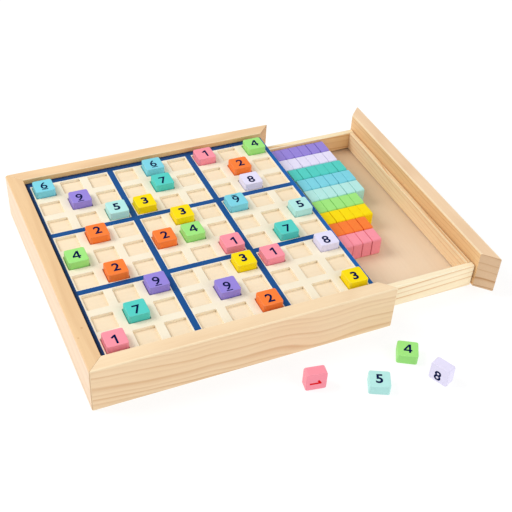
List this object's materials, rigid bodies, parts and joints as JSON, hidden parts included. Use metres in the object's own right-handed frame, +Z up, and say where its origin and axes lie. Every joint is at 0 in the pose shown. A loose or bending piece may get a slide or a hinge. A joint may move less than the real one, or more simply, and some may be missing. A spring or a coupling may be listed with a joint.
{
  "type": "sudoku board",
  "caption": "Square wooden sudoku board with mitred frame rails, pocketed playing field, a drawer that closes one side, and coloured number tiles in pockets, drawer and loose.",
  "frame": {"origin": "middle of the whole object's box at table height, with the drawer open and the loose tiles in front, as in the picture", "axes": "+X the way the drawer opens, +Y from the player's side to the back rail, +Z up"},
  "size_m": [0.33, 0.307, 0.0409],
  "materials": {
    "pine": "clear satin lacquer",
    "pale_pine": "clear satin lacquer",
    "thin_sheet": "smooth plywood",
    "cream_bars": "printed matt, with blue stripes between the boxes",
    "pink_tile": "painted satin",
    "orange_tile": "painted satin",
    "yellow_tile": "painted satin",
    "green_tile": "painted satin",
    "mint_tile": "painted satin",
    "sky_tile": "painted satin",
    "teal_tile": "painted satin",
    "lavender_tile": "painted satin",
    "purple_tile": "painted satin"
  },
  "bodies": {
    "frame": {"left_rail": "pine", "back_rail": "pine", "front_rail": "pine", "bottom_panel": "thin_sheet", "board_backing": "thin_sheet", "grid_long_bars": "cream_bars", "grid_cross_bars": "cream_bars"},
    "drawer": {"drawer_front": "pine", "drawer_box_front": "pale_pine", "drawer_box_back": "pale_pine", "drawer_near_side": "pale_pine", "drawer_far_side": "pale_pine", "drawer_floor": "thin_sheet"},
    "stored_ones": {"stored_ones": "pink_tile"},
    "stored_twos": {"stored_twos": "orange_tile"},
    "stored_threes": {"stored_threes": "yellow_tile"},
    "stored_fours": {"stored_fours": "green_tile"},
    "stored_fives": {"stored_fives": "mint_tile"},
    "stored_sixes": {"stored_sixes": "sky_tile"},
    "stored_sevens": {"stored_sevens": "teal_tile"},
    "stored_eights": {"stored_eights": "lavender_tile"},
    "stored_nines": {"stored_nines": "purple_tile"},
    "tile_6_row1_col1": {"tile_6_row1_col1": "sky_tile"},
    "tile_6_row1_col5": {"tile_6_row1_col5": "sky_tile"},
    "tile_1_row1_col7": {"tile_1_row1_col7": "pink_tile"},
    "tile_4_row1_col9": {"tile_4_row1_col9": "green_tile"},
    "tile_9_row2_col2": {"tile_9_row2_col2": "purple_tile"},
    "tile_7_row2_col5": {"tile_7_row2_col5": "teal_tile"},
    "tile_2_row2_col8": {"tile_2_row2_col8": "orange_tile"},
    "tile_5_row3_col3": {"tile_5_row3_col3": "mint_tile"},
    "tile_3_row3_col4": {"tile_3_row3_col4": "yellow_tile"},
    "tile_8_row3_col8": {"tile_8_row3_col8": "lavender_tile"},
    "tile_2_row4_col2": {"tile_2_row4_col2": "orange_tile"},
    "tile_3_row4_col5": {"tile_3_row4_col5": "yellow_tile"},
    "tile_6_row4_col7": {"tile_6_row4_col7": "sky_tile"},
    "tile_4_row5_col1": {"tile_4_row5_col1": "green_tile"},
    "tile_2_row5_col4": {"tile_2_row5_col4": "orange_tile"},
    "tile_4_row5_col5": {"tile_4_row5_col5": "green_tile"},
    "tile_5_row5_col9": {"tile_5_row5_col9": "mint_tile"},
    "tile_2_row6_col2": {"tile_2_row6_col2": "orange_tile"},
    "tile_1_row6_col6": {"tile_1_row6_col6": "pink_tile"},
    "tile_7_row6_col8": {"tile_7_row6_col8": "teal_tile"},
    "tile_9_row7_col3": {"tile_9_row7_col3": "purple_tile"},
    "tile_3_row7_col6": {"tile_3_row7_col6": "yellow_tile"},
    "tile_1_row7_col7": {"tile_1_row7_col7": "pink_tile"},
    "tile_8_row7_col9": {"tile_8_row7_col9": "lavender_tile"},
    "tile_7_row8_col2": {"tile_7_row8_col2": "teal_tile"},
    "tile_9_row8_col5": {"tile_9_row8_col5": "purple_tile"},
    "tile_1_row9_col1": {"tile_1_row9_col1": "pink_tile"},
    "tile_2_row9_col6": {"tile_2_row9_col6": "orange_tile"},
    "tile_3_row9_col9": {"tile_3_row9_col9": "yellow_tile"},
    "loose_one": {"loose_one": "pink_tile"},
    "loose_four": {"loose_four": "green_tile"},
    "loose_five": {"loose_five": "mint_tile"},
    "loose_eight": {"loose_eight": "lavender_tile"}
  },
  "joints": [
    {"name": "drawer_slide", "type": "slide", "parent": "frame", "child": "drawer", "axis": [1, 0, 0], "range_m": [-0.093, 0.06]},
    {"name": "stored_ones_slide", "type": "slide", "parent": "drawer", "child": "stored_ones", "axis": [1, 0, 0], "range_m": [-0.1172, 0.047]},
    {"name": "stored_twos_slide", "type": "slide", "parent": "drawer", "child": "stored_twos", "axis": [1, 0, 0], "range_m": [-0.1181, 0.0461]},
    {"name": "stored_threes_slide", "type": "slide", "parent": "drawer", "child": "stored_threes", "axis": [1, 0, 0], "range_m": [-0.1184, 0.0372]},
    {"name": "stored_fours_slide", "type": "slide", "parent": "drawer", "child": "stored_fours", "axis": [1, 0, 0], "range_m": [-0.1187, 0.0369]},
    {"name": "stored_fives_slide", "type": "slide", "parent": "drawer", "child": "stored_fives", "axis": [1, 0, 0], "range_m": [-0.1195, 0.0274]},
    {"name": "stored_sixes_slide", "type": "slide", "parent": "drawer", "child": "stored_sixes", "axis": [1, 0, 0], "range_m": [-0.12, 0.0269]},
    {"name": "stored_sevens_slide", "type": "slide", "parent": "drawer", "child": "stored_sevens", "axis": [1, 0, 0], "range_m": [-0.1192, 0.0277]},
    {"name": "stored_eights_slide", "type": "slide", "parent": "drawer", "child": "stored_eights", "axis": [1, 0, 0], "range_m": [-0.118, 0.0289]},
    {"name": "stored_nines_slide", "type": "slide", "parent": "drawer", "child": "stored_nines", "axis": [1, 0, 0], "range_m": [-0.1182, 0.0287]},
    {"name": "tile_6_row1_col1_lift", "type": "slide", "parent": "frame", "child": "tile_6_row1_col1", "axis": [0, 0, 1], "range_m": [0, 0.03]},
    {"name": "tile_6_row1_col5_lift", "type": "slide", "parent": "frame", "child": "tile_6_row1_col5", "axis": [0, 0, 1], "range_m": [0, 0.03]},
    {"name": "tile_1_row1_col7_lift", "type": "slide", "parent": "frame", "child": "tile_1_row1_col7", "axis": [0, 0, 1], "range_m": [0, 0.03]},
    {"name": "tile_4_row1_col9_lift", "type": "slide", "parent": "frame", "child": "tile_4_row1_col9", "axis": [0, 0, 1], "range_m": [0, 0.03]},
    {"name": "tile_9_row2_col2_lift", "type": "slide", "parent": "frame", "child": "tile_9_row2_col2", "axis": [0, 0, 1], "range_m": [0, 0.03]},
    {"name": "tile_7_row2_col5_lift", "type": "slide", "parent": "frame", "child": "tile_7_row2_col5", "axis": [0, 0, 1], "range_m": [0, 0.03]},
    {"name": "tile_2_row2_col8_lift", "type": "slide", "parent": "frame", "child": "tile_2_row2_col8", "axis": [0, 0, 1], "range_m": [0, 0.03]},
    {"name": "tile_5_row3_col3_lift", "type": "slide", "parent": "frame", "child": "tile_5_row3_col3", "axis": [0, 0, 1], "range_m": [0, 0.03]},
    {"name": "tile_3_row3_col4_lift", "type": "slide", "parent": "frame", "child": "tile_3_row3_col4", "axis": [0, 0, 1], "range_m": [0, 0.03]},
    {"name": "tile_8_row3_col8_lift", "type": "slide", "parent": "frame", "child": "tile_8_row3_col8", "axis": [0, 0, 1], "range_m": [0, 0.03]},
    {"name": "tile_2_row4_col2_lift", "type": "slide", "parent": "frame", "child": "tile_2_row4_col2", "axis": [0, 0, 1], "range_m": [0, 0.03]},
    {"name": "tile_3_row4_col5_lift", "type": "slide", "parent": "frame", "child": "tile_3_row4_col5", "axis": [0, 0, 1], "range_m": [0, 0.03]},
    {"name": "tile_6_row4_col7_lift", "type": "slide", "parent": "frame", "child": "tile_6_row4_col7", "axis": [0, 0, 1], "range_m": [0, 0.03]},
    {"name": "tile_4_row5_col1_lift", "type": "slide", "parent": "frame", "child": "tile_4_row5_col1", "axis": [0, 0, 1], "range_m": [0, 0.03]},
    {"name": "tile_2_row5_col4_lift", "type": "slide", "parent": "frame", "child": "tile_2_row5_col4", "axis": [0, 0, 1], "range_m": [0, 0.03]},
    {"name": "tile_4_row5_col5_lift", "type": "slide", "parent": "frame", "child": "tile_4_row5_col5", "axis": [0, 0, 1], "range_m": [0, 0.03]},
    {"name": "tile_5_row5_col9_lift", "type": "slide", "parent": "frame", "child": "tile_5_row5_col9", "axis": [0, 0, 1], "range_m": [0, 0.03]},
    {"name": "tile_2_row6_col2_lift", "type": "slide", "parent": "frame", "child": "tile_2_row6_col2", "axis": [0, 0, 1], "range_m": [0, 0.03]},
    {"name": "tile_1_row6_col6_lift", "type": "slide", "parent": "frame", "child": "tile_1_row6_col6", "axis": [0, 0, 1], "range_m": [0, 0.03]},
    {"name": "tile_7_row6_col8_lift", "type": "slide", "parent": "frame", "child": "tile_7_row6_col8", "axis": [0, 0, 1], "range_m": [0, 0.03]},
    {"name": "tile_9_row7_col3_lift", "type": "slide", "parent": "frame", "child": "tile_9_row7_col3", "axis": [0, 0, 1], "range_m": [0, 0.03]},
    {"name": "tile_3_row7_col6_lift", "type": "slide", "parent": "frame", "child": "tile_3_row7_col6", "axis": [0, 0, 1], "range_m": [0, 0.03]},
    {"name": "tile_1_row7_col7_lift", "type": "slide", "parent": "frame", "child": "tile_1_row7_col7", "axis": [0, 0, 1], "range_m": [0, 0.03]},
    {"name": "tile_8_row7_col9_lift", "type": "slide", "parent": "frame", "child": "tile_8_row7_col9", "axis": [0, 0, 1], "range_m": [0, 0.03]},
    {"name": "tile_7_row8_col2_lift", "type": "slide", "parent": "frame", "child": "tile_7_row8_col2", "axis": [0, 0, 1], "range_m": [0, 0.03]},
    {"name": "tile_9_row8_col5_lift", "type": "slide", "parent": "frame", "child": "tile_9_row8_col5", "axis": [0, 0, 1], "range_m": [0, 0.03]},
    {"name": "tile_1_row9_col1_lift", "type": "slide", "parent": "frame", "child": "tile_1_row9_col1", "axis": [0, 0, 1], "range_m": [0, 0.03]},
    {"name": "tile_2_row9_col6_lift", "type": "slide", "parent": "frame", "child": "tile_2_row9_col6", "axis": [0, 0, 1], "range_m": [0, 0.03]},
    {"name": "tile_3_row9_col9_lift", "type": "slide", "parent": "frame", "child": "tile_3_row9_col9", "axis": [0, 0, 1], "range_m": [0, 0.03]},
    {"name": "loose_one_lift", "type": "slide", "parent": "frame", "child": "loose_one", "axis": [0, 0, 1], "range_m": [0, 0.03]},
    {"name": "loose_four_lift", "type": "slide", "parent": "frame", "child": "loose_four", "axis": [0, 0, 1], "range_m": [0, 0.03]},
    {"name": "loose_five_lift", "type": "slide", "parent": "frame", "child": "loose_five", "axis": [0, 0, 1], "range_m": [0, 0.03]},
    {"name": "loose_eight_lift", "type": "slide", "parent": "frame", "child": "loose_eight", "axis": [0, 0, 1], "range_m": [0, 0.03]}
  ]
}
